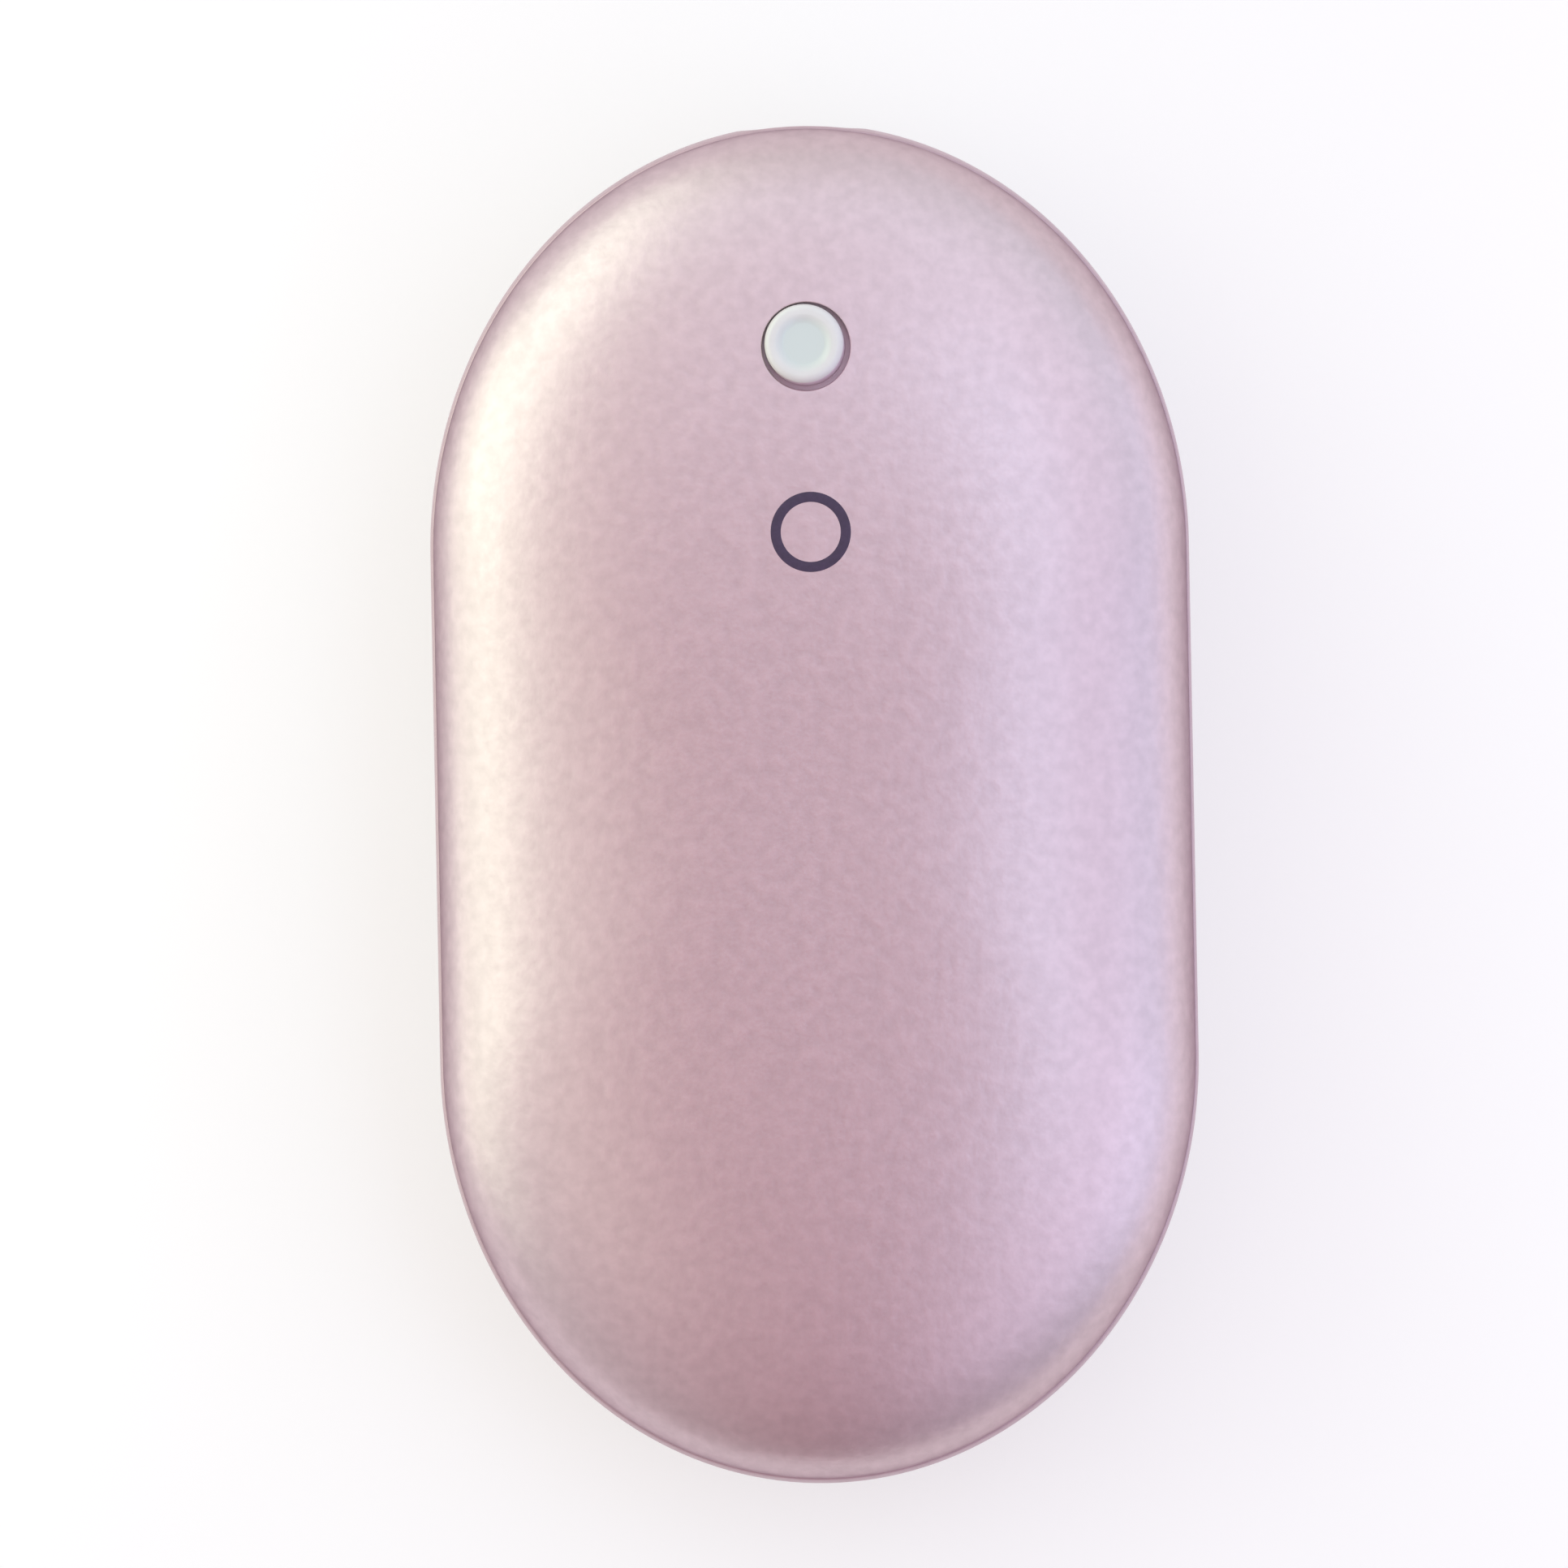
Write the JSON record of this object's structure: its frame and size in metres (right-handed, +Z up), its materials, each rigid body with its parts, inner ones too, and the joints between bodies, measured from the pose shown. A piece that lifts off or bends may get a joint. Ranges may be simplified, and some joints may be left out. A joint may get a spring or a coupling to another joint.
{
  "type": "rechargeable hand warmer",
  "caption": "Pebble-shaped rechargeable hand warmer: two domed shells on a plastic band, a round push button on top and an oval charging port in the end.",
  "frame": {"origin": "centre of the flat that the warmer rests on, under the middle of the body", "axes": "+Z up out of the button side, +Y along the length towards the end with the button and the charging port, +X across the width"},
  "size_m": [0.0586, 0.1048, 0.025],
  "materials": {
    "anodised_shell": "satin rose-gold anodised, finely blasted",
    "band_plastic": "satin moulded plastic, rose",
    "button_plastic": "translucent white",
    "dark_plastic": "matte black",
    "board_laminate": "solder mask green",
    "bright_steel": "plated",
    "nickel": "plain nickel",
    "cell_wrap": "can in blue shrink wrap",
    "heater_film": "amber polyimide film",
    "foam": "matte foam",
    "red_lead": "matte silicone",
    "black_lead": "matte silicone",
    "white_lead": "matte silicone",
    "led_resin": "clear resin"
  },
  "bodies": {
    "housing": {"top_shell": "anodised_shell", "bottom_shell": "anodised_shell", "mid_frame": "band_plastic", "switch_body": "dark_plastic", "main_board": "board_laminate", "usb_c_socket_shell": "bright_steel", "usb_c_socket_tongue": "dark_plastic", "status_led": "led_resin", "charger_chip": "dark_plastic", "control_chip": "dark_plastic", "heater_transistor": "dark_plastic", "board_screw_left": "bright_steel", "board_screw_right": "bright_steel", "bracket_screw_1": "bright_steel", "bracket_screw_2": "bright_steel", "bracket_screw_3": "bright_steel", "bracket_screw_4": "bright_steel", "cell_left": "cell_wrap", "cell_right": "cell_wrap", "cell_bracket_front": "dark_plastic", "cell_bracket_rear": "dark_plastic", "nickel_strip_front": "nickel", "nickel_strip_rear": "nickel", "heater_film_top": "heater_film", "heater_film_bottom": "heater_film", "foam_pad_top": "foam", "foam_pad_bottom": "foam", "battery_lead_positive": "red_lead", "battery_lead_negative": "black_lead", "heater_lead_top": "white_lead", "heater_lead_bottom": "white_lead", "thermistor": "led_resin", "thermistor_lead": "white_lead"},
    "button": {"button_cap": "button_plastic"},
    "plunger": {"switch_plunger": "dark_plastic"}
  },
  "joints": [
    {"name": "button_travel", "type": "slide", "parent": "housing", "child": "button", "axis": [0, 0, -1], "range_m": [0, 0.0004], "stiffness_N_per_m": 1000},
    {"name": "plunger_travel", "type": "slide", "parent": "housing", "child": "plunger", "axis": [0, 0, -1], "range_m": [0, 0.0004]}
  ],
  "couplings": [
    {"joint": "plunger_travel", "follows": "button_travel", "ratio": 1}
  ]
}
